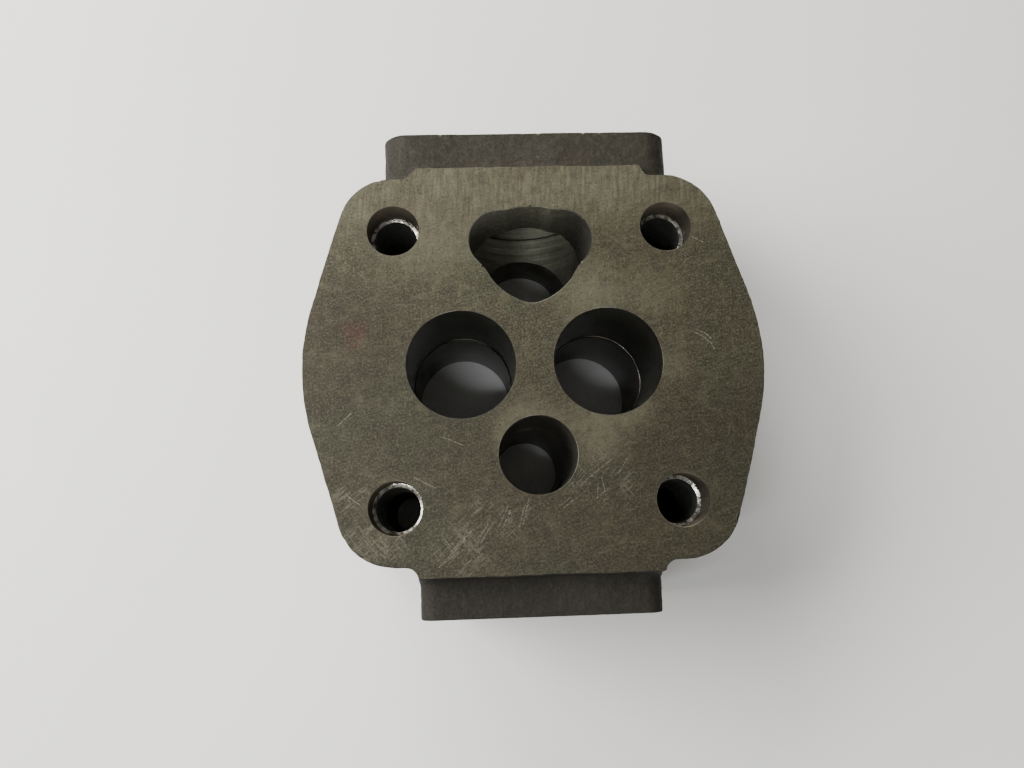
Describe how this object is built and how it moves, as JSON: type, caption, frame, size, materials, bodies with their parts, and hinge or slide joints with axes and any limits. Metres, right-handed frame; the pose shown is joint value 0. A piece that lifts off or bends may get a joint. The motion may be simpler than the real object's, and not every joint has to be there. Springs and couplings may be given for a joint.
{
  "type": "cylinder head",
  "caption": "Bare cast-iron cylinder head: a machined joint face with bolt holes, valve bores and a chamber window over vertical port pads front and back.",
  "frame": {"origin": "middle of the four bolt holes, on the plane of the underside", "axes": "+Z out of the machined joint face, +Y towards the large port's pad, +X to the right when the small port faces the viewer"},
  "size_m": [0.142, 0.1533, 0.08],
  "materials": {
    "casting": "machined faces with oil staining, rough as-cast sides",
    "liner": "honed, dark and oily",
    "sleeve": "turned steel, bright at the chamfer",
    "bushing": "smooth turned"
  },
  "bodies": {
    "root": {"head_casting": "casting", "left_valve_liner": "liner", "right_valve_liner": "liner", "front_left_bolt_sleeve": "sleeve", "front_right_bolt_sleeve": "sleeve", "back_left_bolt_sleeve": "sleeve", "back_right_bolt_sleeve": "sleeve", "back_port_bushing": "bushing", "front_port_bushing": "bushing"}
  },
  "joints": []
}
